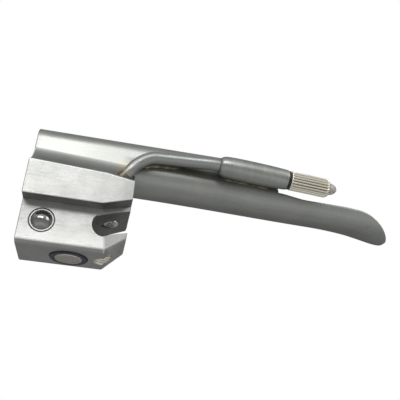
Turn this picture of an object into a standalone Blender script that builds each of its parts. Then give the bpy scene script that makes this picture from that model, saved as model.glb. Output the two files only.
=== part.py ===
"""Hook-on laryngoscope blade: straight blade, base block and screw-in lamp.

Metres, +X towards the tip, +Z away from the handle, -Y the side that carries the lamp.
The origin is the centre of the contact button's face, which touches the handle's contact.
"""

import math

import bmesh
import bpy
from mathutils import Vector

MM = 0.001
UP = Vector((0.0, 0.0, 1.0))
ACROSS = Vector((0.0, 1.0, 0.0))

# Base block
BLOCK_REAR_X = -10.0 * MM
BLOCK_FRONT_X = 10.7 * MM
BLOCK_BOTTOM_Z = 0.4 * MM
BOTTOM_EDGE_RISE = 0.5 * MM
BOTTOM_EDGE_WIDTH = 1.8 * MM
TONGUE_HALF_WIDTH = 6.3 * MM
TONGUE_FRONT_HALF_WIDTH = 4.8 * MM
SHELF_HALF_WIDTH = 9.35 * MM
SHELF_FRONT_HALF_WIDTH = 8.6 * MM
LEDGE_Z = 9.0 * MM
LEDGE_FRONT_Z = 11.05 * MM
SHELF_REAR_Z = 16.25 * MM
SHELF_FOLD_Z = 15.5 * MM
SHELF_FRONT_Z = 14.95 * MM
TAPER_BOTTOM_X = 6.6 * MM
TAPER_TOP_X = 5.1 * MM
CHAMFER_TOP_X = 10.55 * MM
CHAMFER_TOP_Z = 3.85 * MM
SHOULDER_RISE = 5.0 * MM
SHOULDER_TURN = math.radians(45.0)

# Hook slot, which runs up and forward
SLOT_TILT = math.radians(22.0)
SLOT_HALF_GAP = 2.15 * MM
SLOT_END_X = 5.85 * MM
SLOT_END_Z = 5.8 * MM
SLOT_END_RADIUS = 2.5 * MM

# Detent balls and their spring
BALL_X = -5.75 * MM
BALL_Z = 5.1 * MM
BALL_RADIUS = 2.25 * MM
BALL_PROUD = 1.1 * MM
SPRING_COIL_RADIUS = 1.25 * MM
SPRING_WIRE_RADIUS = 0.22 * MM
SPRING_TURNS = 6

# Contact under the block
CONTACT_RADIUS = 2.75 * MM
CONTACT_THICKNESS = 1.25 * MM
CONTACT_STEM_RADIUS = 1.0 * MM
INSULATOR_RADIUS = 3.7 * MM
INSULATOR_NECK_RADIUS = 1.95 * MM
INSULATOR_FLANGE_TOP_Z = 2.4 * MM
INSULATOR_TOP_Z = 5.0 * MM
INSULATOR_FACE_Z = 0.1 * MM
TAG_RADIUS = 1.6 * MM
TAG_THICKNESS = 0.35 * MM

# Screw in the roof of the hook slot
SCREW_X = 7.1 * MM
SCREW_HEAD_RADIUS = 1.65 * MM
SCREW_SHANK_RADIUS = 1.0 * MM
SCREW_HEAD_Z = 8.6 * MM
SCREW_HEAD_HEIGHT = 1.0 * MM
SCREW_CLEARANCE = 0.1 * MM
KEY_RECESS_RADIUS = 0.75 * MM
ACCESS_HOLE_X = 6.8 * MM
ACCESS_HOLE_RADIUS = 1.85 * MM

# Blade sheet
SHEET = 0.9 * MM
WEB_Y = -5.25 * MM
NEAR_CORNER_RADIUS = 4.2 * MM
FLANGE_CORNER_RADIUS = 3.0 * MM
FLANGE_CROWN_RADIUS = 9.0 * MM
FLANGE_CENTRE_Z = 23.6 * MM
FLANGE_CORNER_TURN = math.radians(65.0)
FLANGE_CROWN_TURN = math.radians(70.0)
UPPER_LENGTH = 14.2 * MM
UPPER_LENGTH_LEFT = 2.0 * MM
FAR_EDGE_Y = 5.2 * MM
TAPER_START_X = 24.0 * MM
WEB_END_X = 41.4 * MM
WEB_END_CORNER = 1.5 * MM
FAR_RISE = 2.45 * MM
FAR_RISE_LOST = 1.0 * MM
NEAR_RISE = 4.15 * MM
NEAR_RISE_LOST = 0.65 * MM
NEAR_RISE_LOST_AT_TIP = 0.5 * MM
TIP_START_X = 60.0 * MM
TIP_X = 67.95 * MM
CHANNEL_Z = 15.75 * MM
CHANNEL_SAG = 0.95 * MM
DROOP_START_X = 52.0 * MM
DROOP_BEND = 2.6
TIP_DIP = 1.5 * MM
TIP_MIDDLE = 0.86
TIP_ROUNDNESS = 2.2

# Light tube and lamp socket
TUBE_RADIUS = 1.3 * MM
TUBE_BORE_RADIUS = 0.85 * MM
LEAD_PASSAGE_RADIUS = 0.8 * MM
LAMP_ORIGIN = Vector((27.6, -7.75, 21.95)) * MM
LAMP_DROOP = math.radians(3.5)
SOCKET_LENGTH = 14.8 * MM
RING_START = 14.9 * MM
SHELL_START = 15.4 * MM
SHELL_END = 24.0 * MM
GLASS_END = 25.9 * MM

GAP = 0.12 * MM
LAMP_AXIS = Vector((math.cos(LAMP_DROOP), 0.0, -math.sin(LAMP_DROOP)))


# ---------------------------------------------------------------- materials


def make_material(name, colour, roughness, metallic, alpha=1.0):
    material = bpy.data.materials.new(name)
    material.use_nodes = True
    shader = material.node_tree.nodes["Principled BSDF"]
    shader.inputs["Base Color"].default_value = (*colour, 1.0)
    shader.inputs["Roughness"].default_value = roughness
    shader.inputs["Metallic"].default_value = metallic
    shader.inputs["Alpha"].default_value = alpha
    return material


def make_materials():
    return {
        "satin_steel": make_material("satin_steel", (0.46, 0.47, 0.45), 0.38, 1.0),
        "machined_steel": make_material("machined_steel", (0.78, 0.78, 0.75), 0.45, 1.0),
        "ball_steel": make_material("ball_steel", (0.55, 0.55, 0.54), 0.15, 1.0),
        "nickel_brass": make_material("nickel_brass", (0.62, 0.58, 0.47), 0.3, 1.0),
        "contact_metal": make_material("contact_metal", (0.55, 0.52, 0.46), 0.5, 1.0),
        "copper": make_material("copper", (0.8, 0.45, 0.3), 0.35, 1.0),
        "insulator": make_material("insulator", (0.03, 0.035, 0.06), 0.5, 0.0),
        "black_rubber": make_material("black_rubber", (0.01, 0.01, 0.01), 0.6, 0.0),
        "wire_sleeve": make_material("wire_sleeve", (0.6, 0.05, 0.04), 0.5, 0.0),
        "lamp_glass": make_material("lamp_glass", (0.9, 0.9, 0.85), 0.05, 0.0, 0.35),
        "cement": make_material("cement", (0.7, 0.66, 0.58), 0.8, 0.0),
        "tungsten": make_material("tungsten", (0.3, 0.3, 0.32), 0.4, 1.0),
    }


# ---------------------------------------------------------------- mesh helpers


def clear_scene():
    for item in list(bpy.data.objects):
        bpy.data.objects.remove(item, do_unlink=True)


def object_from(bm, name, material):
    bmesh.ops.recalc_face_normals(bm, faces=bm.faces)
    mesh = bpy.data.meshes.new(name)
    bm.to_mesh(mesh)
    bm.free()
    mesh.shade_smooth()
    mesh.set_sharp_from_angle(angle=math.radians(35))
    if material is not None:
        mesh.materials.append(material)
    item = bpy.data.objects.new(name, mesh)
    bpy.context.scene.collection.objects.link(item)
    return item


def add_skin(bm, rings, closed, rungs=False):
    """Joins rings of points with quads. A closed run of rings meets itself; an open one gets caps.

    With rungs, each ring is a long thin strip and its cap is a row of quads across it.
    """
    loops = [[bm.verts.new(point) for point in ring] for ring in rings]
    count = len(loops[0])
    pairs = list(zip(loops, loops[1:]))
    if closed:
        pairs.append((loops[-1], loops[0]))
    for first, second in pairs:
        for i in range(count):
            j = (i + 1) % count
            bm.faces.new((first[i], first[j], second[j], second[i]))
    if closed:
        return
    for loop in (loops[0], loops[-1][::-1]):
        if rungs:
            for i in range(count // 2 - 1):
                bm.faces.new((loop[i], loop[i + 1], loop[count - 2 - i], loop[count - 1 - i]))
        else:
            bm.faces.new(loop)


def skin_object(name, rings, material, closed=False, rungs=False):
    bm = bmesh.new()
    add_skin(bm, rings, closed, rungs)
    return object_from(bm, name, material)


def frame_about(axis):
    """Two unit vectors square to the axis and to each other."""
    side = Vector((0.0, 1.0, 0.0))
    if abs(axis.dot(side)) > 0.9:
        side = Vector((1.0, 0.0, 0.0))
    first = (side - axis * axis.dot(side)).normalized()
    return first, axis.cross(first)


def circle(centre, first, second, radius, segments):
    points = []
    for i in range(segments):
        angle = 2.0 * math.pi * (i + 0.5) / segments
        points.append(centre + radius * (math.cos(angle) * first + math.sin(angle) * second))
    return points


def turned(name, origin, axis, profile, material, segments=24, hollow=False):
    """Turns (distance, radius) pairs about an axis. A hollow profile is a closed outline."""
    first, second = frame_about(axis)
    rings = [circle(origin + axis * d, first, second, r, segments) for d, r in profile]
    return skin_object(name, rings, material, hollow)


def dome(start, end, radius, steps, pole=0.12):
    """The (distance, radius) pairs of a half ellipse that closes at its end."""
    pairs = []
    for i in range(steps + 1):
        angle = (math.pi / 2.0 - pole) * i / steps
        pairs.append((start + (end - start) * math.sin(angle), radius * math.cos(angle)))
    return pairs


def smooth_path(points, steps):
    """Points along a Catmull-Rom curve through the given ones."""
    ends = [2 * points[0] - points[1], *points, 2 * points[-1] - points[-2]]
    path = []
    for i in range(1, len(ends) - 2):
        before, start, end, after = ends[i - 1 : i + 3]
        for k in range(steps):
            t = k / steps
            path.append(
                0.5
                * (
                    2 * start
                    + (end - before) * t
                    + (2 * before - 5 * start + 4 * end - after) * t**2
                    + (3 * start - before - 3 * end + after) * t**3
                )
            )
    path.append(points[-1])
    return path


def path_rings(path, radius, segments):
    """Circles along a path, turned as little as possible from one to the next."""
    rings = []
    first = None
    for i, point in enumerate(path):
        tangent = (path[min(i + 1, len(path) - 1)] - path[max(i - 1, 0)]).normalized()
        if first is None:
            first, _ = frame_about(tangent)
        first = (first - tangent * tangent.dot(first)).normalized()
        rings.append(circle(point, first, tangent.cross(first), radius, segments))
    return rings


def rod(name, path, radius, material, segments=8):
    return skin_object(name, path_rings(path, radius, segments), material)


def pipe(name, path, outer, inner, material, segments=16):
    rings = path_rings(path, outer, segments) + path_rings(path, inner, segments)[::-1]
    return skin_object(name, rings, material, closed=True)


def prism(name, outline, half_width, material=None):
    """An (x, z) outline drawn out to both sides of the middle plane."""
    rings = [[Vector((x, y, z)) for x, z in outline] for y in (-half_width, half_width)]
    return skin_object(name, rings, material)


def cut(target, cutter):
    cutter.hide_render = True
    cutter.display_type = "WIRE"
    modifier = target.modifiers.new("cut_" + cutter.name, "BOOLEAN")
    modifier.operation = "DIFFERENCE"
    modifier.solver = "EXACT"
    modifier.object = cutter


def blend(start, end, value):
    """0 before start, 1 after end, and smooth between."""
    t = min(max((value - start) / (end - start), 0.0), 1.0)
    return t * t * (3.0 - 2.0 * t)


# ---------------------------------------------------------------- blade


def floor_z(x):
    """Height of the underside of the blade's channel."""
    sag = blend(10.0 * MM, 58.0 * MM, x) * CHANNEL_SAG
    droop = max(x - DROOP_START_X, 0.0) ** 2 * DROOP_BEND
    dip = (max(x - TIP_START_X, 0.0) / (TIP_X - TIP_START_X)) ** 2 * TIP_DIP
    return CHANNEL_Z - sag - droop - dip


def far_rise(x):
    """How far the spatula's open edge stands above its underside."""
    return FAR_RISE - FAR_RISE_LOST * blend(50.0 * MM, 64.0 * MM, x)


def near_rise(x):
    """How far the spatula's lamp-side edge stands above its underside, beyond the web."""
    lead = blend(WEB_END_X, 48.0 * MM, x) * NEAR_RISE_LOST
    end = blend(56.0 * MM, 67.0 * MM, x) * NEAR_RISE_LOST_AT_TIP
    return NEAR_RISE - lead - end


def upper_length(x):
    """Length of sheet above the lower corner: web, flange corner and crown."""
    taper = blend(TAPER_START_X, WEB_END_X - 1.0 * MM, x)
    length = UPPER_LENGTH + (UPPER_LENGTH_LEFT - UPPER_LENGTH) * taper
    past = (x - (WEB_END_X - WEB_END_CORNER)) / WEB_END_CORNER
    if past <= 0.0:
        return length
    if past >= 1.0:
        return None
    return length * math.sqrt(1.0 - past * past)


def arc_points(centre, radius, start, end, step):
    """(y, z) points of an arc from one angle to another, about one step apart."""
    count = max(2, round(abs(end - start) * radius / step))
    points = []
    for i in range(count + 1):
        angle = start + (end - start) * i / count
        points.append((centre[0] + radius * math.cos(angle), centre[1] + radius * math.sin(angle)))
    return points


def full_section(x, step):
    """Outer side of the C section, from the spatula's open edge round to the flange's edge."""
    base = floor_z(x)
    bottom_y = WEB_Y + NEAR_CORNER_RADIUS
    reach = FAR_EDGE_Y - bottom_y
    rise = far_rise(x)
    far_radius = (reach**2 + rise**2) / (2.0 * rise)
    open_angle = math.asin(reach / far_radius)
    down = -math.pi / 2.0
    points = arc_points((bottom_y, base + far_radius), far_radius, down + open_angle, down, step)
    near_centre = (bottom_y, base + NEAR_CORNER_RADIUS)
    points += arc_points(near_centre, NEAR_CORNER_RADIUS, down, -math.pi, step)[1:]
    corner_centre = (WEB_Y + FLANGE_CORNER_RADIUS, FLANGE_CENTRE_Z)
    crown_start = math.pi - FLANGE_CORNER_TURN
    points += arc_points(corner_centre, FLANGE_CORNER_RADIUS, math.pi, crown_start, step)
    drop = FLANGE_CROWN_RADIUS - FLANGE_CORNER_RADIUS
    crown_centre = (
        corner_centre[0] + drop * math.cos(FLANGE_CORNER_TURN),
        corner_centre[1] - drop * math.sin(FLANGE_CORNER_TURN),
    )
    crown_end = crown_start - FLANGE_CROWN_TURN
    points += arc_points(crown_centre, FLANGE_CROWN_RADIUS, crown_start, crown_end, step)[1:]
    return points


def measure(points):
    lengths = [0.0]
    for a, b in zip(points, points[1:]):
        lengths.append(lengths[-1] + math.dist(a, b))
    return lengths


def at_length(points, lengths, wanted):
    for i in range(1, len(lengths)):
        if lengths[i] >= wanted:
            t = (wanted - lengths[i - 1]) / (lengths[i] - lengths[i - 1])
            a, b = points[i - 1], points[i]
            return (a[0] + (b[0] - a[0]) * t, a[1] + (b[1] - a[1]) * t)
    return points[-1]


def section_span(x, points, lengths):
    """Start and end of the sheet along the full section at one place along the blade."""
    bottom_y = WEB_Y + NEAR_CORNER_RADIUS
    lowest = next(length for p, length in zip(points, lengths) if p[0] <= bottom_y + 1e-9)
    corner = lowest + NEAR_CORNER_RADIUS * math.pi / 2.0
    upper = upper_length(x)
    if upper is not None:
        return 0.0, corner + upper
    angle = math.acos(1.0 - near_rise(x) / NEAR_CORNER_RADIUS)
    end = lowest + NEAR_CORNER_RADIUS * angle
    past = max(x - TIP_START_X, 0.0) / (TIP_X - TIP_START_X)
    keep = math.sqrt(max(1.0 - past**TIP_ROUNDNESS, 0.0))
    middle = lowest * TIP_MIDDLE
    return middle * (1.0 - keep), middle + (end - middle) * keep


def blade_section(x, count, offset=0.0):
    """Outer and inner (y, z) points of the sheet at one place along the blade."""
    points = full_section(x, 0.25 * MM)
    lengths = measure(points)
    start, end = section_span(x, points, lengths)
    outer = []
    inner = []
    nudge = 0.05 * MM
    for i in range(count):
        wanted = start + (end - start) * i / (count - 1)
        here = at_length(points, lengths, wanted)
        back = at_length(points, lengths, max(wanted - nudge, 0.0))
        ahead = at_length(points, lengths, min(wanted + nudge, lengths[-1]))
        run = math.dist(back, ahead)
        normal = ((ahead[1] - back[1]) / run, -(ahead[0] - back[0]) / run)
        outer.append((here[0] - normal[0] * offset, here[1] - normal[1] * offset))
        inner.append((here[0] + normal[0] * SHEET, here[1] + normal[1] * SHEET))
    return outer, inner


def blade_stations():
    """Places along the blade, closer together where its outline turns."""
    stations = [BLOCK_REAR_X, 0.0, SCREW_X - 1.6 * MM, SCREW_X + 1.6 * MM, 16.0 * MM]
    stations += [TAPER_START_X + i * 2.4 * MM for i in range(7)]
    for turn in (0, 25, 45, 60, 72, 82):
        stations.append(WEB_END_X - WEB_END_CORNER * (1.0 - math.sin(math.radians(turn))))
    stations += [WEB_END_X + 0.05 * MM, 43.0 * MM, 45.0 * MM, 48.0 * MM, 52.0 * MM, 56.0 * MM]
    for turn in range(0, 86, 10):
        stations.append(TIP_START_X + (TIP_X - TIP_START_X) * math.sin(math.radians(turn)))
    return stations


def make_blade(material):
    rings = []
    for x in blade_stations():
        outer, inner = blade_section(x, 34)
        loop = outer + inner[::-1]
        rings.append([Vector((x, y, z)) for y, z in loop])
    blade = skin_object("blade", rings, material, rungs=True)
    floor = floor_z(SCREW_X)
    radius = SCREW_SHANK_RADIUS + SCREW_CLEARANCE
    hole = [(floor - 1.0 * MM, radius), (floor + 2.5 * MM, radius)]
    cut(blade, turned("blade_rivet_hole", Vector((SCREW_X, 0.0, 0.0)), UP, hole, None))


# ---------------------------------------------------------------- base block


def shoulder_points(side_y, side_z, web_z):
    """Concave curve from the shelf's side up to the web, on the lamp side."""
    face = WEB_Y - GAP
    run = (face + side_y) / (1.0 - math.cos(SHOULDER_TURN))
    rise = (web_z - side_z) / math.sin(SHOULDER_TURN)
    points = []
    for i in range(1, 6):
        turn = SHOULDER_TURN * (1.0 - i / 5)
        points.append((face - run * (1.0 - math.cos(turn)), web_z - rise * math.sin(turn)))
    return points


def bottom_edge():
    """(inset, rise) pairs of the tongue's eased bottom edge, from its side inwards."""
    pairs = []
    for i in range(4):
        inset = BOTTOM_EDGE_WIDTH * i / 3
        pairs.append((inset, BOTTOM_EDGE_RISE * (1.0 - i / 3) ** 2))
    return pairs


def block_section(bottom, ledge, half_tongue, half_shelf, shelf_z):
    """T-shaped section of the block as (x, y, z) points. The bottom and the ledge are (x, z) pairs."""
    x_low, z_low = bottom
    x_top, z_top = ledge
    edge = [(half_tongue - inset, z_low + rise) for inset, rise in bottom_edge()]
    points = [(x_low, y, z) for y, z in edge]
    points += [(x_low, -y, z) for y, z in reversed(edge)]
    points += [
        (x_top, -half_tongue, z_top),
        (x_top, -half_shelf, z_top),
        (x_top, -half_shelf, shelf_z),
    ]
    for y, z in shoulder_points(half_shelf, shelf_z, shelf_z + SHOULDER_RISE):
        points.append((x_top, y, z))
    points += [
        (x_top, FAR_EDGE_Y + 0.3 * MM, shelf_z + 1.0 * MM),
        (x_top, half_shelf, shelf_z),
        (x_top, half_shelf, z_top),
        (x_top, half_tongue, z_top),
    ]
    return [Vector(point) for point in points]


def block_rings():
    wide = (TONGUE_HALF_WIDTH, SHELF_HALF_WIDTH)
    narrow = (TONGUE_FRONT_HALF_WIDTH, SHELF_FRONT_HALF_WIDTH)
    rear = (BLOCK_REAR_X, BLOCK_BOTTOM_Z), (BLOCK_REAR_X, LEDGE_Z)
    fold = (TAPER_BOTTOM_X, BLOCK_BOTTOM_Z), (TAPER_TOP_X, LEDGE_Z)
    front = (CHAMFER_TOP_X, CHAMFER_TOP_Z), (BLOCK_FRONT_X, LEDGE_FRONT_Z)
    return [
        block_section(*rear, *wide, SHELF_REAR_Z),
        block_section(*fold, *wide, SHELF_FOLD_Z),
        block_section(*front, *narrow, SHELF_FRONT_Z),
    ]


def hook_slot_outline():
    """Slot whose closed end is a shallow arc, opening past the block's front."""
    along = Vector((math.cos(SLOT_TILT), math.sin(SLOT_TILT)))
    across = Vector((-along.y, along.x))
    centre = Vector((SLOT_END_X, SLOT_END_Z))
    end = centre + (SLOT_END_RADIUS - SLOT_HALF_GAP) * along
    half_turn = math.asin(SLOT_HALF_GAP / SLOT_END_RADIUS)
    outline = []
    for i in range(13):
        turn = math.pi + half_turn * (i / 6 - 1.0)
        outline.append(end + SLOT_END_RADIUS * (math.cos(turn) * along + math.sin(turn) * across))
    reach = 9.0 * MM
    outline.append(centre + reach * along - SLOT_HALF_GAP * across)
    outline.append(centre + reach * along + SLOT_HALF_GAP * across)
    return [tuple(point) for point in outline]


def ball_bore_profile():
    """Bore through the tongue whose mouths are staked in over the balls."""
    lip = [(0.0, 2.0), (0.35, 2.17), (0.7, 2.27), (1.0, 2.31)]
    face = TONGUE_HALF_WIDTH
    start = [(-face - 1.0 * MM, lip[0][1] * MM)]
    start += [(-face + depth * MM, radius * MM) for depth, radius in lip]
    return start + [(-distance, radius) for distance, radius in reversed(start)]


def contact_bore_profile():
    shoulder = INSULATOR_FLANGE_TOP_Z + 0.1 * MM
    neck = INSULATOR_NECK_RADIUS + 0.1 * MM
    top = INSULATOR_TOP_Z + 0.1 * MM
    cavity = 1.5 * MM
    return [
        (-1.0 * MM, INSULATOR_RADIUS + 0.06 * MM),
        (shoulder, INSULATOR_RADIUS + 0.06 * MM),
        (shoulder, neck),
        (top + 0.7 * MM, neck),
        (top + 0.7 * MM, cavity),
        (8.0 * MM, cavity),
    ]


def screw_bore_profile():
    head = SCREW_HEAD_RADIUS + SCREW_CLEARANCE
    shank = SCREW_SHANK_RADIUS + SCREW_CLEARANCE
    seat = SCREW_HEAD_Z + SCREW_HEAD_HEIGHT + SCREW_CLEARANCE
    return [(6.5 * MM, head), (seat, head), (seat, shank), (18.0 * MM, shank)]


def blade_recess():
    """The space that the blade's underside and channel take out of the block's top."""
    rings = []
    for x in (BLOCK_REAR_X - 1.0 * MM, 0.0, 12.0 * MM):
        outer, _ = blade_section(max(x, BLOCK_REAR_X), 34, offset=GAP)
        near_y = WEB_Y - GAP
        below = [p for p in outer if p[1] < FLANGE_CENTRE_Z]
        loop = [(FAR_EDGE_Y + 0.2 * MM, 24.0 * MM), (FAR_EDGE_Y + 0.2 * MM, below[0][1])]
        loop += below[:-1] + [(near_y, 24.0 * MM)]
        rings.append([Vector((x, y, z)) for y, z in loop])
    return skin_object("blade_recess", rings, None)


def make_block(material):
    block = skin_object("base_block", block_rings(), material)
    cut(block, blade_recess())
    cut(block, prism("hook_slot", hook_slot_outline(), 12.0 * MM))
    ball_line = Vector((BALL_X, 0.0, BALL_Z))
    cut(block, turned("ball_bore", ball_line, ACROSS, ball_bore_profile(), None, 32))
    cut(block, turned("contact_bore", Vector(), UP, contact_bore_profile(), None, 32))
    screw_line = Vector((SCREW_X, 0.0, 0.0))
    cut(block, turned("screw_bore", screw_line, UP, screw_bore_profile(), None, 24))
    hole = [(-1.0 * MM, ACCESS_HOLE_RADIUS), (6.0 * MM, ACCESS_HOLE_RADIUS)]
    cut(block, turned("access_hole", Vector((ACCESS_HOLE_X, 0.0, 0.0)), UP, hole, None, 24))
    path = tube_path()
    start = path[0] - (path[1] - path[0]) * 0.2
    bore = path_rings([start] + path, TUBE_RADIUS + GAP, 16)
    cut(block, skin_object("tube_bore", bore, None))
    passage = path_rings(lead_path()[:2] + [path[1]], LEAD_PASSAGE_RADIUS, 12)
    cut(block, skin_object("lead_passage", passage, None))


# ---------------------------------------------------------------- tube and lead


def tube_path():
    """Middle line of the light tube, from inside the block to inside the socket."""
    route = [
        (5.2, -3.9, 12.95), (7.3, -5.5, 15.3), (9.3, -6.75, 17.75), (10.9, -6.95, 19.85),
        (13.4, -6.95, 21.55), (16.6, -6.95, 21.95), (22.0, -7.25, 22.05),
    ]
    points = [Vector(point) * MM for point in route]
    points += [LAMP_ORIGIN - LAMP_AXIS * 1.2 * MM, LAMP_ORIGIN + LAMP_AXIS * 2.6 * MM]
    return smooth_path(points, 3)


def lead_path():
    """Middle line of the lead, from the contact's tag to the socket's contact."""
    tube = tube_path()
    start = Vector((0.0, 0.0, 6.95)) * MM
    return [start, start.lerp(tube[0], 0.12)] + tube + [LAMP_ORIGIN + LAMP_AXIS * 4.9 * MM]


def make_tube(materials):
    pipe("light_tube", tube_path(), TUBE_RADIUS, TUBE_BORE_RADIUS, materials["satin_steel"])
    pipe("lead_insulation", lead_path()[1:-1], 0.6 * MM, 0.36 * MM, materials["wire_sleeve"], 10)
    rod("lead_wire", lead_path(), 0.25 * MM, materials["copper"], 10)


# ---------------------------------------------------------------- small pieces of the block


def make_balls(materials):
    offset = TONGUE_HALF_WIDTH + BALL_PROUD - BALL_RADIUS
    steps = 12
    profile = []
    for i in range(steps + 1):
        turn = math.pi * (0.03 + 0.94 * i / steps)
        profile.append((-BALL_RADIUS * math.cos(turn), BALL_RADIUS * math.sin(turn)))
    for name, side in (("detent_ball_lamp_side", -1.0), ("detent_ball_open_side", 1.0)):
        centre = Vector((BALL_X, side * offset, BALL_Z))
        turned(name, centre, ACROSS, profile, materials["ball_steel"], 24)
    half = offset - BALL_RADIUS - SPRING_WIRE_RADIUS - 0.05 * MM
    count = SPRING_TURNS * 12
    path = []
    for i in range(count + 1):
        turn = 2.0 * math.pi * SPRING_TURNS * i / count
        x = BALL_X + SPRING_COIL_RADIUS * math.cos(turn)
        y = -half + 2.0 * half * i / count
        z = BALL_Z + SPRING_COIL_RADIUS * math.sin(turn)
        path.append(Vector((x, y, z)))
    rod("detent_spring", path, SPRING_WIRE_RADIUS, materials["ball_steel"], 6)


def make_contact(materials):
    base = Vector()
    stem = CONTACT_STEM_RADIUS
    button = [
        (0.0, CONTACT_RADIUS - 0.2 * MM),
        (0.2 * MM, CONTACT_RADIUS),
        (CONTACT_THICKNESS, CONTACT_RADIUS),
        (CONTACT_THICKNESS, stem),
        (6.6 * MM, stem),
    ]
    turned("contact_button", base, UP, button, materials["contact_metal"], 32)
    seat = CONTACT_THICKNESS + 0.05 * MM
    hole = stem + 0.06 * MM
    insulator = [
        (INSULATOR_FACE_Z, CONTACT_RADIUS + 0.06 * MM),
        (INSULATOR_FACE_Z, INSULATOR_RADIUS - 0.1 * MM),
        (INSULATOR_FACE_Z + 0.1 * MM, INSULATOR_RADIUS),
        (INSULATOR_FLANGE_TOP_Z, INSULATOR_RADIUS),
        (INSULATOR_FLANGE_TOP_Z, INSULATOR_NECK_RADIUS),
        (INSULATOR_TOP_Z, INSULATOR_NECK_RADIUS),
        (INSULATOR_TOP_Z, hole),
        (seat, hole),
        (seat, CONTACT_RADIUS + 0.06 * MM),
    ]
    turned("contact_insulator", base, UP, insulator, materials["insulator"], 32, hollow=True)
    low = INSULATOR_TOP_Z + 0.08 * MM
    high = low + TAG_THICKNESS
    tag = [(low, hole), (low, TAG_RADIUS), (high, TAG_RADIUS), (high, hole)]
    turned("contact_tag", base, UP, tag, materials["contact_metal"], 24, hollow=True)


def make_screw(material):
    top = SCREW_HEAD_Z + SCREW_HEAD_HEIGHT
    profile = [
        (SCREW_HEAD_Z, SCREW_HEAD_RADIUS - 0.2 * MM),
        (SCREW_HEAD_Z + 0.2 * MM, SCREW_HEAD_RADIUS),
        (top, SCREW_HEAD_RADIUS),
        (top, SCREW_SHANK_RADIUS),
        (floor_z(SCREW_X) + 0.95 * MM, SCREW_SHANK_RADIUS),
    ]
    screw = turned("block_fixing_screw", Vector((SCREW_X, 0.0, 0.0)), UP, profile, material, 24)
    recess = [
        (SCREW_HEAD_Z - 0.5 * MM, KEY_RECESS_RADIUS),
        (SCREW_HEAD_Z + 0.6 * MM, KEY_RECESS_RADIUS),
        (SCREW_HEAD_Z + 0.75 * MM, 0.2 * KEY_RECESS_RADIUS),
    ]
    cut(screw, turned("key_recess", Vector((SCREW_X, 0.0, 0.0)), UP, recess, None, 6))


# ---------------------------------------------------------------- socket and lamp


def on_lamp_axis(name, profile, material, segments=24, hollow=False):
    """Turns (distance, radius) pairs in millimetres about the lamp's axis."""
    scaled = [(distance * MM, radius * MM) for distance, radius in profile]
    return turned(name, LAMP_ORIGIN, LAMP_AXIS, scaled, material, segments, hollow)


def make_socket(materials):
    mouth = SOCKET_LENGTH / MM
    outline = [
        (0.0, 1.42), (0.0, 1.62), (0.35, 1.9), (0.8, 2.15), (1.4, 2.22), (5.0, 2.34), (9.0, 2.32),
        (12.5, 2.22), (mouth - 0.15, 2.13), (mouth, 1.98),
        (mouth, 1.74), (8.6, 1.74), (8.6, 1.62), (3.2, 1.62), (3.2, 1.42),
    ]
    on_lamp_axis("lamp_socket", outline, materials["satin_steel"], 28, hollow=True)
    bush = [(5.6, 0.56), (5.6, 1.54), (7.7, 1.54), (7.7, 0.56)]
    on_lamp_axis("socket_insulator", bush, materials["insulator"], 20, hollow=True)
    contact = [(5.1, 0.5), (7.76, 0.5), (7.76, 1.0), (8.15, 1.0)]
    on_lamp_axis("socket_contact", contact, materials["contact_metal"], 20)


def make_lamp(materials):
    ring = RING_START / MM
    start = SHELL_START / MM
    end = SHELL_END / MM
    tip = GLASS_END / MM
    seal = [(ring, 1.74), (ring, 2.0), (start - 0.08, 2.0), (start - 0.08, 1.74)]
    on_lamp_axis("lamp_seal_ring", seal, materials["black_rubber"], 24, hollow=True)
    shell = [
        (9.4, 1.25), (9.4, 1.5), (9.6, 1.66), (start, 1.66), (start, 1.95), (start + 0.1, 2.05),
        (end - 0.55, 2.05), (end, 1.6), (end, 1.42), (18.6, 1.42), (18.6, 1.25),
    ]
    on_lamp_axis("lamp_shell", shell, materials["nickel_brass"], 40, hollow=True)
    glass = [(20.2, 1.02), (20.2, 1.3)] + dome(end, tip, 1.3, 6)
    glass += dome(end, tip - 0.22, 1.02, 6)[::-1]
    on_lamp_axis("lamp_glass", glass, materials["lamp_glass"], 24, hollow=True)
    cement = [(18.75, 1.0), (18.75, 1.38), (20.1, 1.38), (20.1, 1.0)]
    on_lamp_axis("lamp_cement", cement, materials["cement"], 20, hollow=True)
    bead = [(19.0, 0.7), (19.2, 0.88), (20.0, 0.88), (20.4, 0.7)]
    make_bead(bead, materials["lamp_glass"])
    washer = [(8.75, 0.6), (8.75, 1.4), (9.3, 1.4), (9.3, 0.6)]
    on_lamp_axis("lamp_base_insulator", washer, materials["insulator"], 20, hollow=True)
    foot = [(8.28, 0.45), (8.42, 0.72), (8.68, 0.72), (8.68, 0.5), (9.3, 0.5)]
    on_lamp_axis("lamp_centre_contact", foot, materials["contact_metal"], 20)
    make_filament(materials)


def lamp_point(distance, up, side):
    """A point by its distance along the lamp's axis and its offsets from it, in millimetres."""
    first, second = frame_about(LAMP_AXIS)
    return LAMP_ORIGIN + (LAMP_AXIS * distance + first * side + second * up) * MM


def make_bead(profile, material):
    bead = on_lamp_axis("lamp_bead", profile, material, 20)
    for side in (-0.45, 0.45):
        path = [lamp_point(18.0, 0.0, side), lamp_point(21.5, 0.0, side)]
        cutter = skin_object("bead_hole", path_rings(path, 0.14 * MM, 8), None)
        cut(bead, cutter)


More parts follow.
